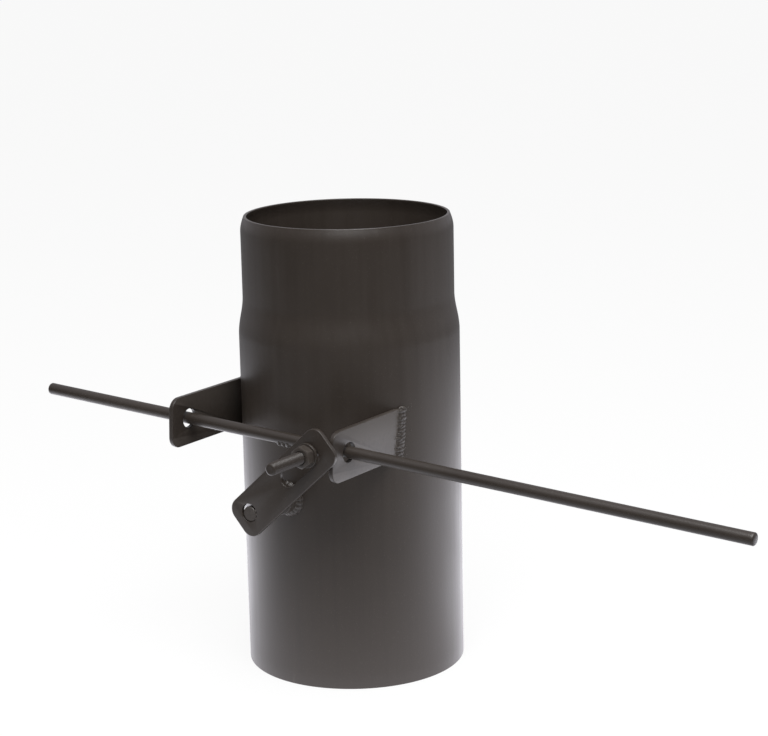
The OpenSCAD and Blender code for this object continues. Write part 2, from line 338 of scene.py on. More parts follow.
def joined_mesh(name, parts, angle_limit=SHARP_ANGLE):
    """One smooth-shaded mesh from several parts. Edges over the angle stay sharp."""
    whole = bmesh.new()
    for part in parts:
        scrap = bpy.data.meshes.new("scrap")
        part.to_mesh(scrap)
        part.free()
        whole.from_mesh(scrap)
        bpy.data.meshes.remove(scrap)
    mesh = bpy.data.meshes.new(name)
    whole.to_mesh(mesh)
    whole.free()
    mesh.shade_smooth()
    mesh.set_sharp_from_angle(angle=angle_limit)
    return mesh


def flat_plate(loops, thickness, edge):
    """A flat plate about Z = 0 with rounded edges. The first loop is its outline and the others
    are its holes, and all run anticlockwise."""
    outline = bpy.data.curves.new("outline", "CURVE")
    outline.dimensions = "2D"
    outline.fill_mode = "BOTH"
    outline.extrude = thickness / 2 - edge
    outline.bevel_depth = edge
    outline.bevel_resolution = 3
    outline.offset = -edge
    for index, loop in enumerate(loops):
        points = loop if index == 0 else list(reversed(loop))
        spline = outline.splines.new("POLY")
        spline.points.add(len(points) - 1)
        spline.use_cyclic_u = True
        for place, point in zip(spline.points, points):
            place.co = (point[0], point[1], 0, 1)
    holder = bpy.data.objects.new("outline", outline)
    mesh = bpy.data.meshes.new_from_object(holder)
    made = bmesh.new()
    made.from_mesh(mesh)
    bpy.data.objects.remove(holder)
    bpy.data.curves.remove(outline)
    bpy.data.meshes.remove(mesh)
    bmesh.ops.remove_doubles(made, verts=made.verts, dist=1e-6)
    bmesh.ops.recalc_face_normals(made, faces=made.faces)
    return made


def arc(middle_x, middle_y, radius, start, end, count=14):
    """Points of an arc."""
    return [(middle_x + radius * cos(a), middle_y + radius * sin(a))
            for a in steps(start, end, count)]


def circle(middle_x, middle_y, radius, count=72):
    """Points of a full circle."""
    return arc(middle_x, middle_y, radius, 0, TURN * (count - 1) / count, count)


def slot_loop(x, low, high, radius):
    """Outline of a straight slot with round ends, along Y."""
    return (arc(x, high - radius, radius, 0, pi, 28)
            + arc(x, low + radius, radius, pi, TURN, 28))


def piece(name, mesh, body, material, slot, *nodes):
    """Puts a mesh in the scene as a piece that stands for CAD nodes."""
    made = bpy.data.objects.new(name, mesh)
    bpy.context.scene.collection.objects.link(made)
    mesh.materials.append(material)
    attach(made, body)
    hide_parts(*nodes)
    return made


def ease(t):
    """Smooth step from 0 to 1."""
    return (1 - cos(pi * t)) / 2


def taper(t, length_share):
    """1 along the middle of a bead, rounding down to 0 at both ends."""
    near = min(t, 1 - t) / length_share
    return sqrt(max(0.0, 1 - (1 - min(near, 1)) ** 2))


# ---- Weld beads ----

BEAD_POINTS = 12
SUNK = 0.35 * MM


def bead_section(corner, toward_a, toward_b, legs, bulge):
    """Closed section of a bead in the corner between two surfaces, bulging out of it."""
    outward = (toward_a + toward_b).normalized() if legs[2] is None else legs[2]
    points = []
    for t in steps(0, 1, BEAD_POINTS):
        points.append(corner + toward_a * legs[0] * (1 - t) + toward_b * legs[1] * t
                      + outward * bulge * sin(pi * t))
    points.append(corner + toward_b * legs[1] * 0.6 - outward * SUNK)
    points.append(corner - outward * SUNK)
    points.append(corner + toward_a * legs[0] * 0.6 - outward * SUNK)
    return points


def roughened(rings, cores, height, grain):
    """Rings pushed in and out by noise, away from the core of each."""
    rough = []
    for points, core in zip(rings, cores):
        row = []
        for index, p in enumerate(points):
            if 0 < index < BEAD_POINTS - 1:
                lump = noise.noise(p / grain) + 0.5 * noise.noise(p * 2.3 / grain)
                p = p + (p - core).normalized() * height * lump
            row.append(p)
        rough.append(row)
    return rough


# ---- Materials ----

class Shading:
    """Builds the nodes of a material or of the world, one at a time."""

    def __init__(self, owner):
        self.owner = owner
        owner.use_nodes = True
        self.tree = owner.node_tree
        self.tree.nodes.clear()

    def node(self, kind, inputs, **options):
        made = self.tree.nodes.new(kind)
        for option, value in options.items():
            setattr(made, option, value)
        for key, value in inputs.items():
            if isinstance(value, bpy.types.NodeSocket):
                self.tree.links.new(value, made.inputs[key])
            else:
                made.inputs[key].default_value = value
        return made

    def noise(self, where, scale, detail=2.0, roughness=0.5):
        made = self.node("ShaderNodeTexNoise", {"Vector": where, "Scale": scale,
                                                "Detail": detail, "Roughness": roughness})
        return made.outputs["Fac"]

    def stretched(self, where, scale):
        return self.node("ShaderNodeMapping", {"Vector": where, "Scale": scale}).outputs[0]

    def span(self, value, low, high, to_low=0.0, to_high=1.0, kind="LINEAR"):
        """Value brought from one span to another and held inside it."""
        made = self.node("ShaderNodeMapRange", {"Value": value, "From Min": low,
                                                "From Max": high, "To Min": to_low,
                                                "To Max": to_high},
                         interpolation_type=kind)
        return made.outputs[0]

    def along(self, vector, direction):
        """How far a vector reaches in a direction."""
        made = self.node("ShaderNodeVectorMath", {0: vector, 1: direction},
                         operation="DOT_PRODUCT")
        return made.outputs["Value"]

    def choose(self, amount, a, b):
        """A value between two others."""
        made = self.node("ShaderNodeMix", {0: amount, 2: a, 3: b}, data_type="FLOAT")
        return made.outputs[0]

    def sum(self, a, b, operation="ADD"):
        return self.node("ShaderNodeMath", {0: a, 1: b}, operation=operation).outputs[0]

    def blend(self, amount, a, b):
        made = self.node("ShaderNodeMix", {0: amount, 6: a, 7: b}, data_type="RGBA")
        return made.outputs[2]

    def bump(self, height, strength, distance, under=None):
        inputs = {"Height": height, "Strength": strength, "Distance": distance}
        if under is not None:
            inputs["Normal"] = under
        return self.node("ShaderNodeBump", inputs).outputs[0]

    def finish(self, base, roughness, normal, specular=0.5):
        shader = self.node("ShaderNodeBsdfPrincipled", {
            "Base Color": base, "Roughness": roughness, "Normal": normal,
            "Specular IOR Level": specular})
        self.node("ShaderNodeOutputMaterial", {"Surface": shader.outputs[0]})
        return self.owner


def rgba(colour_value):
    """A colour property with full alpha."""
    return (*colour_value, 1.0)


def satin_paint(name, streaks, wear, grain=1.0, rough_add=0.0, specks=1.0):
    """Sprayed satin stove paint. Streaks run up the piece, and edges are rubbed lighter."""
    look = settings().paint
    paint = Shading(bpy.data.materials.new(name))
    where = paint.node("ShaderNodeTexCoord", {}).outputs["Object"]
    clouds = paint.noise(where, 14, 3)
    upright = paint.stretched(where, (1, 1, 0.03))
    streak = paint.noise(upright, 260, 2)
    patchy = paint.span(paint.sum(clouds, paint.sum(streak, streaks, "MULTIPLY")),
                        0.35, 0.65 + 0.5 * streaks)
    base = paint.blend(patchy, rgba(look.dark), rgba(look.body))
    speck = paint.span(paint.noise(where, 1900, 1), 0.70, 0.78)
    base = paint.blend(paint.sum(speck, 0.35 * specks, "MULTIPLY"), base, rgba(look.dust))
    edge = paint.node("ShaderNodeNewGeometry", {}).outputs["Pointiness"]
    scuffed = paint.sum(edge, paint.span(paint.noise(where, 420, 3), 0, 1, -0.04, 0.04))
    rubbed = paint.sum(paint.span(scuffed, 0.53, 0.60), wear * look.wear, "MULTIPLY")
    base = paint.blend(rubbed, base, rgba(look.worn))
    rough = paint.span(clouds, 0.3, 0.7, look.roughness + rough_add - 0.03,
                       look.roughness + rough_add + 0.05)
    rough = paint.sum(rough, paint.span(streak, 0.3, 0.7, -0.04 * streaks, 0.04 * streaks))
    peel = paint.noise(where, 520 * grain, 2)
    fine = paint.noise(where, 2400 * grain, 2)
    normal = paint.bump(peel, look.orange_peel, 0.12 * MM)
    normal = paint.bump(fine, look.orange_peel, 0.04 * MM, normal)
    return paint.finish(base, rough, normal)


def weld_paint():
    """Paint over rough weld: thin on the crests, with slag and pits between the ripples."""
    look = settings().paint
    paint = Shading(bpy.data.materials.new("weld_paint"))
    where = paint.node("ShaderNodeTexCoord", {}).outputs["Object"]
    crust = paint.noise(where, 1100, 5, 0.65)
    edge = paint.node("ShaderNodeNewGeometry", {}).outputs["Pointiness"]
    crest = paint.span(paint.sum(edge, paint.span(crust, 0, 1, -0.06, 0.06)), 0.5, 0.60)
    base = paint.blend(paint.span(crust, 0.4, 0.7), rgba(look.dark), rgba(look.body))
    base = paint.blend(paint.sum(crest, 0.8, "MULTIPLY"), base, rgba(look.worn))
    rough = paint.span(crust, 0.35, 0.7, look.roughness - 0.06, look.roughness + 0.2)
    normal = paint.bump(crust, 0.5, 0.3 * MM)
    return paint.finish(base, rough, normal)


MATERIALS = {}


def material(name):
    """The finish of that name, made once."""
    if name not in MATERIALS:
        makers = {
            "pipe_paint": lambda: satin_paint("pipe_paint", 0.6, 0.5),
            "plate_paint": lambda: satin_paint("plate_paint", 0.15, 1.0, 1.2),
            "rod_paint": lambda: satin_paint("rod_paint", 0.1, 0.8, 1.0, 0.03, 1.6),
            "weld_paint": weld_paint,
            "fixing_paint": lambda: satin_paint("fixing_paint", 0.0, 1.3, 1.6, 0.02, 1.4),
            "disc_paint": lambda: satin_paint("disc_paint", 0.1, 1.0, 1.0, 0.12, 1.0),
        }
        MATERIALS[name] = makers[name]()
    return MATERIALS[name]


# ---- Pipe and bosses ----

def pipe_outside(z):
    """Outside radius of the pipe at a height."""
    sizes = settings().pipe
    swage_start = PIPE_HEIGHT - sizes.spigot
    rim_start = PIPE_HEIGHT - sizes.rim
    if z <= swage_start:
        return PIPE_RADIUS
    if z <= swage_start + sizes.swage:
        return PIPE_RADIUS - sizes.step * ease((z - swage_start) / sizes.swage)
    if z <= rim_start:
        return PIPE_RADIUS - sizes.step
    curl = sizes.curl * (1 - cos(pi / 2 * (z - rim_start) / sizes.rim))
    return PIPE_RADIUS - sizes.step - curl


def wall_wander(at, z):
    """How far the wall lies inside its true round, from slow unevenness and die marks."""
    sizes = settings().pipe
    spot = Vector((cos(at) * 1.6, sin(at) * 1.6, z * 14))
    slow = sizes.wander * (0.5 + 0.5 * noise.noise(spot))
    spigot_start = PIPE_HEIGHT - sizes.spigot + sizes.swage / 3
    on_spigot = ease(min(max((z - spigot_start) / sizes.swage, 0), 1))
    mark = (0.5 + 0.5 * cos(sizes.die_marks * at + 0.6 * sin(5 * at))) ** 10
    return slow + sizes.die_depth * mark * on_spigot


def pipe_heights():
    """Heights of the pipe's rings, close together where it curves."""
    sizes = settings().pipe
    swage_start = PIPE_HEIGHT - sizes.spigot
    straight_start = swage_start + sizes.swage
    rim_start = PIPE_HEIGHT - sizes.rim
    return (steps(sizes.edge, swage_start, 24)[:-1] + steps(swage_start, straight_start, 22)
            + steps(straight_start, rim_start, 8)[1:]
            + steps(rim_start, PIPE_HEIGHT - sizes.edge, 10)[1:])


class STOVEPIPE_OT_pipe(Operator):
    """Build the pipe: one tube, narrowed at the top, with a hole at each side"""

    bl_idname = "stovepipe.pipe"
    bl_label = "Pipe"

    SIDES = 288

    def wall_ring(self, inset, z, lift=0.0):
        """A ring of the wall, set in from the outside, where it may be lifted for an edge."""
        def radius(at):
            return pipe_outside(z) - inset - wall_wander(at, z)
        return ring(radius, z + lift, self.SIDES)

    def edge_rings(self, z, side):
        """Rings round a cut edge, from the outside to the inside."""
        sizes = settings().pipe
        rings = []
        for a in steps(0, pi / 2, 4)[1:]:
            rings.append(self.wall_ring(sizes.edge * (1 - cos(a)), z,
                                        side * sizes.edge * sin(a)))
        for a in steps(pi / 2, 0, 4)[:-1]:
            inset = sizes.wall - sizes.edge * (1 - cos(a))
            rings.append(self.wall_ring(inset, z, side * sizes.edge * sin(a)))
        return rings

    def execute(self, context):
        sizes = settings().pipe
        heights = pipe_heights()
        rings = [self.wall_ring(0, z) for z in heights]
        rings += self.edge_rings(heights[-1], 1)
        rings += [self.wall_ring(sizes.wall, z) for z in reversed(heights)]
        rings += list(reversed(self.edge_rings(heights[0], -1)))
        mesh = joined_mesh("pipe_tube", [loft(rings, Matrix.Identity(4), joined=True)])
        made = piece("pipe_tube", mesh, PIPE_BODY, material("pipe_paint"), "pipe_paint",
                     "pipe")
        self.drill(made)
        return {"FINISHED"}

    def drill(self, made):
        """Cuts the two spindle holes."""
        hole = settings().crank.spindle / 2 + settings().pipe.bore_gap + 0.4 * MM
        reach = PIPE_RADIUS + 5 * MM
        bar = loft([ring(hole, -reach, 48), ring(hole, reach, 48)], spindle_place())
        cutter = bpy.data.objects.new("hole_cutter", joined_mesh("hole_cutter", [bar]))
        bpy.context.scene.collection.objects.link(cutter)
        cut = made.modifiers.new("holes", "BOOLEAN")
        cut.operation = "DIFFERENCE"
        cut.solver = "EXACT"
        cut.object = cutter
        view = bpy.context.evaluated_depsgraph_get()
        drilled = bpy.data.meshes.new_from_object(made.evaluated_get(view))
        made.modifiers.clear()
        made.data = drilled
        drilled.shade_smooth()
        drilled.set_sharp_from_angle(angle=SHARP_ANGLE)
        bpy.data.objects.remove(cutter)


def on_pipe(x):
    """How far in front of the pipe's axis its wall is at x."""
    return sqrt(max(PIPE_RADIUS ** 2 - x ** 2, 0.0))


class STOVEPIPE_OT_bosses(Operator):
    """Build the two bosses that the spindle turns in"""

    bl_idname = "stovepipe.bosses"
    bl_label = "Bosses"

    def execute(self, context):
        self.boss("front_boss_tube", "front_boss", spindle_place())
        rear = Matrix.Translation((0, 0, SPINDLE_HEIGHT)) @ Matrix.Rotation(-pi / 2, 4, "X")
        self.boss("rear_boss_tube", "rear_boss", rear)
        return {"FINISHED"}

    def boss(self, name, node, place):
        """A short thick tube whose inner end fits the round of the pipe."""
        sizes = settings().pipe
        outside = extent(node, 0) / 2
        inside = settings().crank.spindle / 2 + sizes.bore_gap
        edge = sizes.boss_edge

        def foot(radius):
            return lambda at: on_pipe(radius * cos(at))

        rings = [ring(outside, foot(outside), 72), ring(outside, BOSS_FRONT - edge, 72)]
        rings += [ring(outside - edge * (1 - cos(a)), BOSS_FRONT - edge * (1 - sin(a)), 72)
                  for a in steps(0, pi / 2, 5)[1:]]
        rings += [ring(inside + 0.4 * MM, BOSS_FRONT, 72), ring(inside, BOSS_FRONT - 0.4 * MM, 72),
                  ring(inside, foot(inside), 72)]
        mesh = joined_mesh(name, [loft(rings, place, joined=True)])
        piece(name, mesh, PIPE_BODY, material("plate_paint"), "linkage_paint", node)


# ---- Brackets ----

def bracket_middle(node):
    """Middle of a bracket plate in the leaned linkage's axes."""
    return linkage_place().inverted() @ middle(node)


class STOVEPIPE_OT_brackets(Operator):
    """Build the two bracket plates that the rod slides through"""

    bl_idname = "stovepipe.brackets"
    bl_label = "Brackets"

    def execute(self, context):
        self.bracket("left_bracket_plate", "left_bracket")
        self.bracket("right_bracket_plate", "right_bracket")
        return {"FINISHED"}

    def bracket(self, name, node):
        """A flat plate on edge, with two round front corners and the rod hole."""
        sizes = settings().bracket
        at = bracket_middle(node)
        half, corner = sizes.height / 2, sizes.corner
        inner = on_pipe(abs(at.x) + sizes.thickness)
        outline = ([(inner, -half)]
                   + arc(BRACKET_FRONT - corner, corner - half, corner, -pi / 2, 0)
                   + arc(BRACKET_FRONT - corner, half - corner, corner, 0, pi / 2)
                   + [(inner, half)])
        hole = circle(ROD_REACH, sizes.hole_up, sizes.hole / 2)
        made = flat_plate([outline, hole], sizes.thickness, sizes.edge)
        to_front = Matrix(((0, 0, -1, 0), (-1, 0, 0, 0), (0, 1, 0, 0), (0, 0, 0, 1)))
        made.transform(linkage_place() @ Matrix.Translation((at.x, 0, at.z)) @ to_front)
        reach = inner + 2 * sizes.edge
        for v in made.verts:
            if -v.co.y < reach:
                v.co.y = -on_pipe(v.co.x)
        mesh = joined_mesh(name, [made])
        piece(name, mesh, PIPE_BODY, material("plate_paint"), "linkage_paint", node)


class STOVEPIPE_OT_bracket_welds(Operator):
    """Build the rough beads of weld up the outer sides of the brackets"""

    bl_idname = "stovepipe.bracket_welds"
    bl_label = "Bracket welds"

    def execute(self, context):
        self.bead("left_bracket_bead", "left_bracket_weld", "left_bracket", -1, 3)
        self.bead("right_bracket_bead", "right_bracket_weld", "right_bracket", 1, 8)
        return {"FINISHED"}

    def bead(self, name, node, plate, side, seed):
        """A bead up the corner between a bracket's outer face and the pipe, with spatter."""
        sizes, weld = settings().bracket, settings().weld
        at = bracket_middle(plate)
        face = at.x + side * sizes.thickness / 2
        over = 1.5 * MM
        to_row = linkage_place()
        rings, cores = [], []
        heights = steps(-sizes.height / 2 - 0.5 * MM, sizes.height / 2 + over, 96)
        for i, height in enumerate(heights):
            t = i / (len(heights) - 1)
            corner = to_row @ Vector((face, 0, at.z + height))
            corner.y = -on_pipe(corner.x)
            along_pipe = Vector((-corner.y, corner.x, 0)).normalized()
            if along_pipe.x * side < 0:
                along_pipe = -along_pipe
            ripple = abs(sin(pi * height / weld.ripple + seed))
            swell = taper(t, 0.09) * (0.84 + 0.16 * ripple
                                      + 0.14 * noise.noise(Vector((height * 260, seed, 0))))
            legs = (weld.plate_leg * swell, weld.pipe_leg * swell, None)
            section = bead_section(corner, Vector((0, -1, 0)), along_pipe, legs,
                                   0.9 * MM * swell)
            rings.append(section)
            cores.append(corner)
        rings = roughened(rings, cores, weld.lumps, 1.5 * MM)
        parts = [loft(rings, Matrix.Identity(4))]
        parts += self.spatter(to_row, face, at.z, side, seed)
        mesh = joined_mesh(name, parts, radians(60))
        piece(name, mesh, PIPE_BODY, material("weld_paint"), "weld_paint", node)

    def spatter(self, to_row, face, middle_z, side, seed):
        """Small balls of weld on the pipe and on the plate, near the bead."""
        draw = random.Random(seed)
        weld, half = settings().weld, settings().bracket.height / 2
        balls = []
        for i in range(16):
            height = draw.uniform(-half, half + 2 * MM)
            size = draw.uniform(0.18, 0.45) * MM
            off = draw.uniform(0.3, 4.5) * MM
            spot = to_row @ Vector((face, 0, middle_z + height))
            spot.y = -on_pipe(spot.x)
            if i % 3 == 0 and abs(height) < half - MM:
                spot = spot + Vector((0, -weld.plate_leg - off, 0))
            else:
                turn = side * (weld.pipe_leg + off) / PIPE_RADIUS
                spot = Matrix.Rotation(turn, 4, "Z") @ spot
            balls.append(ball(Matrix.Translation(spot), size, seed + i))
        return balls


# ---- Welds of the bosses, the stud and the crank plate ----

class STOVEPIPE_OT_round_welds(Operator):
    """Build the beads round the bosses, the stud's foot and the spindle's front end"""

    bl_idname = "stovepipe.round_welds"
    bl_label = "Round welds"

    def execute(self, context):
        self.boss_bead("front_boss_bead", "front_boss_weld", spindle_place(), 1)
        rear = Matrix.Translation((0, 0, SPINDLE_HEIGHT)) @ Matrix.Rotation(-pi / 2, 4, "X")
        self.boss_bead("rear_boss_bead", "rear_boss_weld", rear, 2)
        self.stud_bead()
        self.crank_bead()
        return {"FINISHED"}

    def boss_bead(self, name, node, place, seed):
        """A closed bead round the foot of a boss, following the round of the pipe."""
        weld = settings().weld
        radius = extent("front_boss", 0) / 2
        rings, cores = [], []
        count = 150
        for i in range(count):
            a = TURN * i / count
            out = Vector((cos(a), sin(a), 0))
            corner = out * radius
            corner.z = on_pipe(corner.x)
            wall = Vector((corner.x, 0, corner.z)).normalized()
            along = (out - wall * out.dot(wall)).normalized()
            ripple = abs(sin(0.5 * a * 22))
            swell = 0.8 + 0.14 * ripple + 0.1 * noise.noise(out * 3 + Vector((0, 0, seed)))
            legs = (weld.boss_leg * swell, weld.boss_leg * swell, None)
            rings.append(bead_section(corner, along, Vector((0, 0, 1)), legs, 0.6 * MM))
            cores.append(corner)
        rings = roughened(rings, cores, 0.3 * MM, 1.6 * MM)
        mesh = joined_mesh(name, [loft(rings, place, joined=True)], radians(60))
        piece(name, mesh, PIPE_BODY, material("weld_paint"), "weld_paint", node)

    def stud_bead(self):
        """The bead between the rod's front and the stud's neck."""
        radius = settings().fixing.neck / 2
        rod_radius = ROD_DIAMETER / 2
        rings, cores = [], []
        count = 90
        for i in range(count):
            a = TURN * i / count
            out = Vector((cos(a), sin(a), 0))
            corner = out * radius
            corner.z = ROD_REACH + sqrt(rod_radius ** 2 - corner.y ** 2)
            wall = Vector((0, corner.y, corner.z - ROD_REACH)).normalized()
            along = (out - wall * out.dot(wall)).normalized()
            leg = (2.1 + 0.3 * abs(sin(7 * a))) * MM
            rings.append(bead_section(corner, along, Vector((0, 0, 1)), (leg, leg, None),
                                      0.35 * MM))
            cores.append(corner)
        rings = roughened(rings, cores, 0.25 * MM, 1.4 * MM)
        mesh = joined_mesh("stud_bead", [loft(rings, stud_place(), joined=True)],
                           radians(60))
        piece("stud_bead", mesh, ROD_BODY, material("weld_paint"), "weld_paint",
              "stud_weld")

    def crank_bead(self):
        """The bead behind the crank plate, with the tacks that show in its hole's gap."""
        crank = settings().crank
        radius = crank.spindle / 2
        rings, cores = [], []
        count = 60
        for i, a in enumerate(steps(radians(-105), radians(105), count)):
            out = Vector((cos(a), sin(a), 0))
            corner = out * radius
            corner.z = CRANK_BACK
            leg = 3 * MM * taper(i / (count - 1), 0.1) * (0.9 + 0.1 * abs(sin(8 * a)))
            rings.append(bead_section(corner, out, Vector((0, 0, -1)), (leg, leg, None),
                                      0.5 * MM * leg / (3 * MM)))
            cores.append(corner)
        rings = roughened(rings, cores, 0.3 * MM, 1.5 * MM)
        parts = [loft(rings, crank_place())]
        for index, a in enumerate((20, 52, 80)):
            spot = Vector((5.4 * MM * cos(radians(a)), 5.4 * MM * sin(radians(a)),
                           CRANK_FRONT - 0.7 * MM))
            parts.append(ball(crank_place() @ Matrix.Translation(spot), 0.75 * MM, index))
        mesh = joined_mesh("crank_bead", parts, radians(60))
        piece("crank_bead", mesh, DAMPER_BODY, material("weld_paint"), "weld_paint",
              "crank_weld")


# ---- Control rod, stud, washer and nut ----

class STOVEPIPE_OT_control_rod(Operator):
    """Build the control rod and the lump of weld under it"""

    bl_idname = "stovepipe.control_rod"
    bl_label = "Control rod"

    SIDES = 40

    def execute(self, context):
        sizes = settings().rod
        low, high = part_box("control_rod")
        radius = ROD_DIAMETER / 2
        to_axis = linkage_place().inverted()
        left = (to_axis @ Vector((low.x, 0, high.z - radius))).x
        right = (to_axis @ Vector((high.x, 0, low.z + radius))).x
        place = (linkage_place() @ Matrix.Translation((0, -ROD_REACH, sizes.rise))
                 @ Matrix.Rotation(pi / 2, 4, "Y"))
        chamfer = sizes.chamfer
        left += 0.2 * MM
        right -= 0.2 * MM

        def coated(z, cut=0.0):
            def at_angle(a):
                spot = Vector((cos(a) * 1.4, sin(a) * 1.4, z * 90))
                return radius - cut - sizes.coat * (0.5 + 0.5 * noise.noise(spot))
            return ring(at_angle, z, self.SIDES)

        rings = [coated(left, chamfer), coated(left + 0.25 * chamfer, 0.55 * chamfer),
                 coated(left + 0.6 * chamfer, 0.2 * chamfer)]
        rings += [coated(z) for z in steps(left + chamfer, right - chamfer, 340)]
        rings += [coated(right - 0.6 * chamfer, 0.2 * chamfer),
                  coated(right - 0.25 * chamfer, 0.55 * chamfer), coated(right, chamfer)]
        mesh = joined_mesh("control_rod_bar", [loft(rings, place)])
        piece("control_rod_bar", mesh, ROD_BODY, material("rod_paint"), "linkage_paint",
              "control_rod")
        self.lump(place)
        return {"FINISHED"}

    def lump(self, place):
        """A low uneven lump of weld along the rod's underside, left of the stud."""
        box_low, box_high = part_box("rod_bead")
        to_axis = linkage_place().inverted()
        start = (to_axis @ Vector((box_low.x, 0, box_high.z))).x
        end = (to_axis @ Vector((box_high.x, 0, box_low.z))).x
        radius = ROD_DIAMETER / 2
        rings, cores = [], []
        count = 48
        for i, z in enumerate(steps(start, end, count)):
            size = taper(i / (count - 1), 0.2) * (0.8 + 0.2 * abs(sin(3.3 * i / count * pi)))
            down = Vector((0.93, -0.36, 0)).normalized()
            across = Vector((-down.y, down.x, 0))
            corner = down * (radius - 0.6 * MM)
            corner.z = z
            rings.append(bead_section(corner, across, -across,
                                      (2.6 * MM * size, 2.6 * MM * size, down),
                                      2.2 * MM * size))
            cores.append(corner)
        rings = roughened(rings, cores, 0.3 * MM, 1.6 * MM)
        mesh = joined_mesh("rod_lump", [loft(rings, place)], radians(60))
        piece("rod_lump", mesh, ROD_BODY, material("weld_paint"), "weld_paint", "rod_bead")


def thread_radius(outside, depth, pitch, z, at):
    """Radius of a painted thread: flat crests and rounded roots."""
    phase = (z / pitch - at / TURN) % 1.0
    rise = 1 - abs(2 * phase - 1)
    return outside - depth * (1 - ease(min(rise * 1.25, 1.0)))


def hexagon_radius(across_flats, at, rounding=0.985):
    """Radius of a hexagon at an angle, with its six edges slightly rounded."""
    sixth = pi / 3
    off = (at + sixth / 2) % sixth - sixth / 2
    return min(across_flats / 2 / cos(off), rounding * across_flats / 2 / cos(sixth / 2))


def hexagon_rings(across_flats, low, high, count=96, slope=radians(30)):
    """Rings of a hexagon whose corners are turned off at both ends."""
    turned = 0.475 * across_flats
    edge = 0.12 * MM

    def radius(at):
        return hexagon_radius(across_flats, at)

    def drop(at):
        return edge + max(0.0, (radius(at) - turned) * sin(slope) / cos(slope))

    return [ring(turned - edge, low, count), ring(turned, low + edge / 2, count),
            ring(radius, lambda at: low + drop(at), count),
            ring(radius, lambda at: high - drop(at), count),
            ring(turned, high - edge / 2, count), ring(turned - edge, high, count)]


class STOVEPIPE_OT_stud(Operator):
    """Build the threaded stud with its washer and nut"""

    bl_idname = "stovepipe.stud"
    bl_label = "Stud, washer and nut"

    def execute(self, context):
        self.stud()
        self.washer()
        self.nut()
        return {"FINISHED"}

    def stud(self):
        """The stud: a neck in the slot, then a real helical thread to a broken end."""
        sizes = settings().fixing
        outside, neck, chamfer = sizes.stud / 2, sizes.neck / 2, sizes.chamfer
        count = 56

        def foot(at):
            return ROD_REACH + sqrt((ROD_DIAMETER / 2) ** 2 - (neck * sin(at)) ** 2)

        rings = [ring(neck, foot, count), ring(neck, WASHER_BACK - 0.3 * MM, count)]
        for z in steps(WASHER_BACK, STUD_END, ceil((STUD_END - WASHER_BACK) / (0.15 * MM))):
            cut = max(0.0, z - (STUD_END - chamfer))

            def radius(at, z=z, cut=cut):
                groove = thread_radius(outside, sizes.depth, sizes.pitch, z, at)
                return min(groove, outside - cut - 0.25 * cut * cut / chamfer)
            rings.append(ring(radius, z, count))
        dished = [ring(0.62 * (outside - chamfer), STUD_END - 0.12 * MM, count)]
        mesh = joined_mesh("stud_screw", [loft(rings + dished, stud_place())], radians(50))
        piece("stud_screw", mesh, ROD_BODY, material("fixing_paint"), "fixings", "stud")

    def washer(self):
        """A punched washer with one rounded edge."""
        outside = extent("stud_washer", 0) / 2
        inside = settings().fixing.stud / 2 + 0.2 * MM
        low, high = WASHER_BACK, NUT_BACK
        edge = 0.4 * MM
        rings = [ring(inside, low, 72), ring(outside - 0.1 * MM, low, 72),
                 ring(outside, low + 0.1 * MM, 72)]
        rings += [ring(outside - edge * (1 - cos(a)), high - edge * (1 - sin(a)), 72)
                  for a in steps(0, pi / 2, 5)]
        rings += [ring(inside + 0.15 * MM, high, 72), ring(inside, high - 0.15 * MM, 72)]
        mesh = joined_mesh("stud_washer_ring", [loft(rings, stud_place(), joined=True)])
        piece("stud_washer_ring", mesh, ROD_BODY, material("fixing_paint"), "fixings",
              "stud_washer")

    def nut(self):
        """A hexagon nut with its corners turned off."""
        sizes = settings().fixing
        high = -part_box("stud_nut")[0].y
        bore = sizes.stud / 2
        outer = hexagon_rings(sizes.nut, NUT_BACK, high)
        rings = outer + [ring(bore + 0.6 * MM, high, 96), ring(bore, high - 0.6 * MM, 96),
                         ring(bore, NUT_BACK + 0.6 * MM, 96),
                         ring(bore + 0.6 * MM, NUT_BACK, 96)]
        place = stud_place() @ Matrix.Rotation(sizes.nut_turn, 4, "Z")
        mesh = joined_mesh("stud_nut_hexagon", [loft(rings, place, joined=True)],
                           radians(28))
        piece("stud_nut_hexagon", mesh, ROD_BODY, material("fixing_paint"), "fixings",
              "stud_nut")


# ---- Crank plate, spindle and disc ----

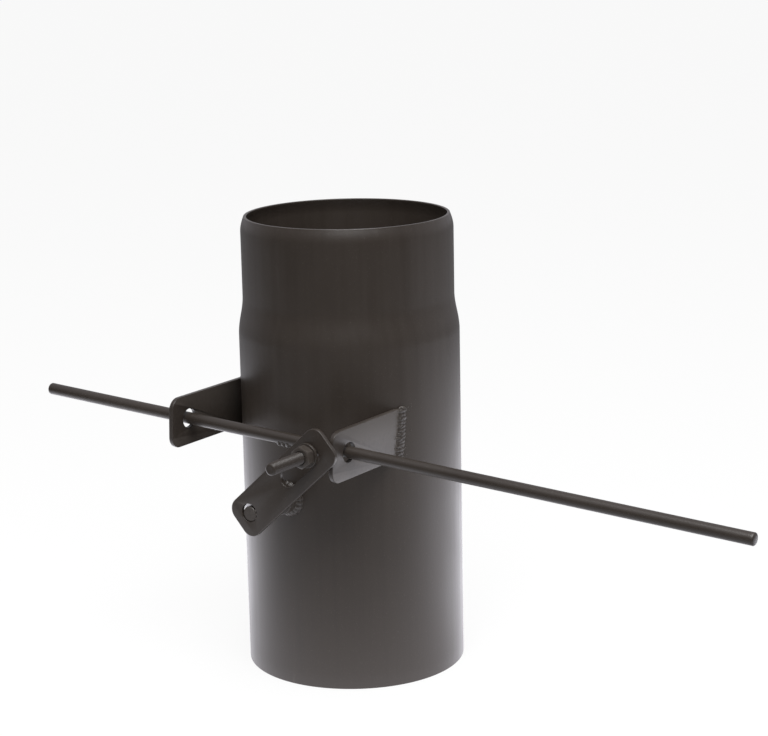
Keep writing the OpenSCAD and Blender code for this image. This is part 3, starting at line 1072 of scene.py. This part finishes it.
class STOVEPIPE_OT_crank(Operator):
    """Build the slotted crank plate and the spindle"""

    bl_idname = "stovepipe.crank"
    bl_label = "Crank plate and spindle"

    def execute(self, context):
        self.plate()
        self.spindle()
        return {"FINISHED"}

    def plate(self):
        """A flat plate with four round corners, a slot and the spindle hole."""
        sizes = settings().crank
        half, corner = sizes.width / 2, sizes.corner
        low, high = -sizes.short_end, sizes.long_end
        outline = (arc(half - corner, low + corner, corner, -pi / 2, 0)
                   + arc(half - corner, high - corner, corner, 0, pi / 2)
                   + arc(corner - half, high - corner, corner, pi / 2, pi)
                   + arc(corner - half, low + corner, corner, pi, 1.5 * pi))
        hole = circle(-sizes.hole_off, 0.2 * MM, sizes.hole / 2)
        slot = slot_loop(0, sizes.slot_start, sizes.slot_end, sizes.slot / 2)
        thickness = CRANK_FRONT - CRANK_BACK
        made = flat_plate([outline, hole, slot], thickness, sizes.edge)
        made.transform(crank_place()
                       @ Matrix.Translation((0, 0, (CRANK_FRONT + CRANK_BACK) / 2)))
        mesh = joined_mesh("crank_arm", [made])
        piece("crank_arm", mesh, DAMPER_BODY, material("plate_paint"), "linkage_paint",
              "crank_plate")

    def spindle(self):
        """A round bar right through the pipe, with two flats for the disc."""
        sizes = settings().crank
        low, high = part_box("spindle")
        back, front = -high.y, -low.y
        radius, count = sizes.spindle / 2, 72
        edge = 0.5 * MM
        flat_end = DISC_RADIUS + 0.5 * MM

        def clipped(at):
            return min(radius, sizes.flat / 2 / max(abs(cos(at)), 1e-6))

        rings = [ring(radius - edge, back, count), ring(radius, back + edge, count),
                 ring(radius, -flat_end, count), ring(clipped, -flat_end + 0.01 * MM, count),
                 ring(clipped, flat_end - 0.01 * MM, count), ring(radius, flat_end, count),
                 ring(radius, front - edge, count), ring(radius - edge, front, count)]
        mesh = joined_mesh("spindle_bar", [loft(rings, spindle_place())], radians(28))
        piece("spindle_bar", mesh, DAMPER_BODY, material("fixing_paint"), "linkage_paint",
              "spindle")


class STOVEPIPE_OT_disc(Operator):
    """Build the damper disc with its two bolts and nuts"""

    bl_idname = "stovepipe.disc"
    bl_label = "Damper disc"

    FACING_SIDE = Matrix.Rotation(pi / 2, 4, "Y")

    def execute(self, context):
        self.disc()
        self.fixings()
        return {"FINISHED"}

    def disc(self):
        """A flat round plate with broken edges."""
        thickness, edge = extent("damper_disc", 0), 0.35 * MM
        place = (Matrix.Translation((DISC_SEAT, 0, SPINDLE_HEIGHT)) @ self.FACING_SIDE)
        bolts = self.bolt_holes()
        outline = circle(0, 0, DISC_RADIUS, 180)
        made = flat_plate([outline, *bolts], thickness, edge)
        made.transform(place @ Matrix.Translation((0, 0, thickness / 2)))
        mesh = joined_mesh("disc_plate", [made])
        piece("disc_plate", mesh, DAMPER_BODY, material("disc_paint"), "disc_steel",
              "damper_disc")

    def bolt_reach(self):
        """Distance of the bolts from the middle of the spindle."""
        low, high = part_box("disc_nuts")
        return (high.y - low.y) / 2 - settings().fixing.bolt_hex / 2

    def bolt_holes(self):
        """Loops of the disc's two bolt holes."""
        radius = settings().fixing.bolt / 2 + 0.2 * MM
        reach = self.bolt_reach()
        return [circle(0, side * reach, radius, 32) for side in (-1, 1)]

    def fixings(self):
        """Two hexagon bolts through the disc and the spindle, and a nut on each."""
        sizes = settings().fixing
        reach, bolt = self.bolt_reach(), sizes.bolt / 2
        seat = DISC_SEAT + extent("damper_disc", 0)
        head_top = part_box("disc_bolts")[1].x
        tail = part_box("disc_bolts")[0].x
        nut_low, nut_high = (box.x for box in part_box("disc_nuts"))
        heads, nuts = [], []
        for side in (-1, 1):
            place = (Matrix.Translation((0, side * reach, SPINDLE_HEIGHT))
                     @ self.FACING_SIDE @ Matrix.Rotation(pi / 6 + 0.3 * side, 4, "Z"))
            heads.append(loft(hexagon_rings(sizes.bolt_hex, seat, head_top, 72), place))
            shank = [ring(bolt - 0.5 * MM, tail, 40)]
            for z in steps(tail + 0.1 * MM, nut_high, 60):
                def radius(at, z=z):
                    groove = thread_radius(bolt, 0.35 * MM, sizes.bolt_pitch, z, at)
                    return min(groove, bolt - 0.5 * MM + (z - tail))
                shank.append(ring(radius, z, 40))
            shank.append(ring(bolt, seat + 0.5 * MM, 40))
            heads.append(loft(shank, place))
            outer = hexagon_rings(sizes.bolt_hex, nut_low, nut_high, 72)
            bore = [ring(bolt, nut_high, 72), ring(bolt, nut_low, 72)]
            nuts.append(loft(outer + bore, place, joined=True))
        piece("disc_bolt_pair", joined_mesh("disc_bolt_pair", heads, radians(28)),
              DAMPER_BODY, material("fixing_paint"), "fixings", "disc_bolts")
        piece("disc_nut_pair", joined_mesh("disc_nut_pair", nuts, radians(28)),
              DAMPER_BODY, material("fixing_paint"), "fixings", "disc_nuts")


# ---- Stage ----

class STOVEPIPE_OT_stage(Operator):
    """Set up the camera, the pale floor and the soft light"""

    bl_idname = "stovepipe.stage"
    bl_label = "Stage"

    def execute(self, context):
        self.camera(context)
        self.floor()
        self.room(context)
        self.lamps()
        context.scene.view_settings.view_transform = "Standard"
        return {"FINISHED"}

    def camera(self, context):
        look = settings().stage
        data = bpy.data.cameras.new("camera")
        data.lens = look.lens
        data.sensor_width = 36
        made = bpy.data.objects.new("camera", data)
        made.matrix_world = (Matrix.Translation(look.place)
                             @ Matrix.Rotation(look.heading, 4, "Z")
                             @ Matrix.Rotation(pi / 2 - look.pitch, 4, "X")
                             @ Matrix.Rotation(look.roll, 4, "Z"))
        context.scene.collection.objects.link(made)
        context.scene.camera = made

    def floor(self):
        """A wide white floor. The camera sees it mostly plain white. For reflections and for the
        light it throws on the object it glows, as a painted pool of light that is bright round the
        object and fades towards the camera.
        """
        look = settings().stage
        made = bmesh.new()
        bmesh.ops.create_grid(made, x_segments=1, y_segments=1, size=12)
        mesh = bpy.data.meshes.new("floor")
        made.to_mesh(mesh)
        made.free()
        floor = bpy.data.objects.new("floor", mesh)
        floor.location.z = -0.2 * MM
        bpy.context.scene.collection.objects.link(floor)
        paint = Shading(bpy.data.materials.new("floor_white"))
        where = paint.node("ShaderNodeNewGeometry", {}).outputs["Position"]
        # Painted pool of light: the floor's glow is strongest near the object, dimmer towards the
        # camera's side and gone far away.
        nearer = paint.span(paint.along(where, self.toward_dark()), -look.glow_reach / 4,
                            4 * look.glow_reach, 0.0, 4.25)
        away = paint.node("ShaderNodeVectorMath", {0: where}, operation="LENGTH")
        pool = paint.span(away.outputs["Value"], look.pool / 3, look.pool, 1.0,
                          look.dark_front, "SMOOTHSTEP")
        glow = paint.sum(paint.sum(0.3679, nearer, "POWER"), look.glare, "MULTIPLY")
        glow = paint.sum(glow, pool, "MULTIPLY")
        rays = paint.node("ShaderNodeLightPath", {})
        direct = paint.sum(rays.outputs["Is Camera Ray"],
                           rays.outputs["Is Transmission Ray"], "MAXIMUM")
        strength = paint.choose(direct, glow, 1.0)
        tint = paint.blend(rays.outputs["Is Glossy Ray"], rgba(look.floor), rgba(look.tint))
        plain = paint.node("ShaderNodeEmission", {"Color": tint, "Strength": strength})
        shaded = paint.node("ShaderNodeBsdfDiffuse", {"Color": (0.92, 0.92, 0.92, 1.0)})
        amount = paint.choose(direct, 0.9, 1 - look.shadow)
        shader = paint.node("ShaderNodeMixShader", {0: amount, 1: shaded.outputs[0],
                                                    2: plain.outputs[0]})
        paint.node("ShaderNodeOutputMaterial", {"Surface": shader.outputs[0]})
        mesh.materials.append(paint.owner)

    def toward_dark(self):
        """Level direction from the object to the dim side of the room."""
        dark = settings().stage.heading - settings().stage.dark_turn
        return (sin(dark), -cos(dark), 0)

    def room(self, context):
        """A white room. Reflections see it bright behind the object and dim in front."""
        look = settings().stage
        world = bpy.data.worlds.new("room")
        context.scene.world = world
        light = Shading(world)
        direction = light.node("ShaderNodeTexCoord", {}).outputs["Generated"]
        facing = light.along(direction, self.toward_dark())
        walls = light.span(facing, -0.6, 0.6, look.walls, look.dark_front, "SMOOTHSTEP")
        rise = light.span(light.along(direction, (0, 0, 1)), 0.25, 0.8, 0.0, 1.0,
                          "SMOOTHSTEP")
        reflected = light.choose(rise, walls, look.room)
        rays = light.node("ShaderNodeLightPath", {})
        lit = light.choose(rays.outputs["Is Glossy Ray"], look.room, reflected)
        strength = light.choose(rays.outputs["Is Camera Ray"], lit, 1.0)
        tint = light.blend(rays.outputs["Is Glossy Ray"], rgba(look.floor), rgba(look.tint))
        shade = light.node("ShaderNodeBackground", {"Color": tint, "Strength": strength})
        light.node("ShaderNodeOutputWorld", {"Surface": shade.outputs[0]})

    def lamps(self):
        look = settings().stage
        self.softbox("key_light", (0.5, -0.55, 1.5), (0, 0, 0.2), 1.0, look.key)

    def softbox(self, name, place, target, size, power):
        """A square area light that looks at a point."""
        data = bpy.data.lights.new(name, "AREA")
        data.size = size
        data.energy = power
        made = bpy.data.objects.new(name, data)
        made.location = place
        aim = Vector(target) - Vector(place)
        made.rotation_euler = aim.to_track_quat("-Z", "Y").to_euler()
        bpy.context.scene.collection.objects.link(made)


PIECE_OPERATORS = (
    STOVEPIPE_OT_pipe,
    STOVEPIPE_OT_bosses,
    STOVEPIPE_OT_brackets,
    STOVEPIPE_OT_bracket_welds,
    STOVEPIPE_OT_round_welds,
    STOVEPIPE_OT_control_rod,
    STOVEPIPE_OT_stud,
    STOVEPIPE_OT_crank,
    STOVEPIPE_OT_disc,
    STOVEPIPE_OT_stage,
)


class STOVEPIPE_PT_panel(Panel):
    """Lists the pieces and the stage"""

    bl_idname = "STOVEPIPE_PT_panel"
    bl_label = "Stove Pipe"
    bl_space_type = "VIEW_3D"
    bl_region_type = "UI"
    bl_category = "Stove Pipe"

    def draw(self, context):
        for operator in PIECE_OPERATORS:
            self.layout.operator(operator.bl_idname)


CLASSES = (
    PipeSizes,
    BracketSizes,
    RodSizes,
    CrankSizes,
    FixingSizes,
    WeldSizes,
    PaintLook,
    StageLook,
    StovePipeSettings,
    *PIECE_OPERATORS,
    STOVEPIPE_PT_panel,
)


def register():
    for cls in CLASSES:
        bpy.utils.register_class(cls)
    bpy.types.Scene.stove_pipe = PointerProperty(type=StovePipeSettings)


def unregister():
    del bpy.types.Scene.stove_pipe
    for cls in reversed(CLASSES):
        bpy.utils.unregister_class(cls)


def main():
    """Builds every piece and the stage."""
    register()
    bpy.ops.stovepipe.pipe()
    bpy.ops.stovepipe.bosses()
    bpy.ops.stovepipe.brackets()
    bpy.ops.stovepipe.bracket_welds()
    bpy.ops.stovepipe.round_welds()
    bpy.ops.stovepipe.control_rod()
    bpy.ops.stovepipe.stud()
    bpy.ops.stovepipe.crank()
    bpy.ops.stovepipe.disc()
    bpy.ops.stovepipe.stage()


if __name__ == "__main__":
    main()
